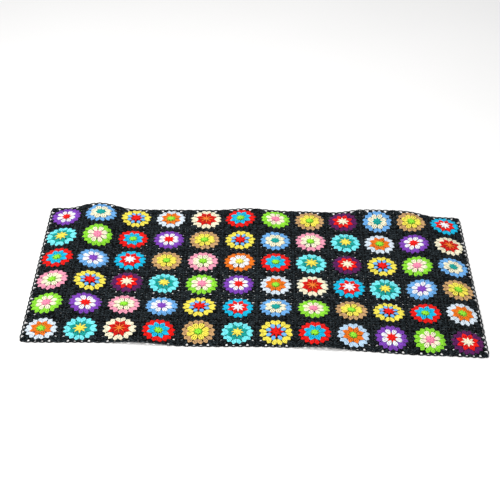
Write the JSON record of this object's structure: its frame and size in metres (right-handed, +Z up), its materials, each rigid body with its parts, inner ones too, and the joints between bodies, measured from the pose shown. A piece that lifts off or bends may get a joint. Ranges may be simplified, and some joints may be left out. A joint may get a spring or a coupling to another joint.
{
  "type": "granny square blanket",
  "caption": "Crocheted blanket of joined granny squares with multi-coloured flowers on black, laid out flat with a few soft folds and a narrow scalloped edging.",
  "frame": {"origin": "middle of the blanket's footprint, on the surface that it lies on", "axes": "+X along the twelve columns of squares, +Y to the back row, +Z up out of the cloth's right side"},
  "size_m": [1.2752, 0.6644, 0.0294],
  "materials": {
    "squares": "crocheted acrylic yarn: bright three-colour flowers on a matt black ground",
    "edging": "crocheted black acrylic yarn, matt"
  },
  "bodies": {
    "root": {"squares_sheet": "squares", "edging": "edging"}
  },
  "joints": []
}
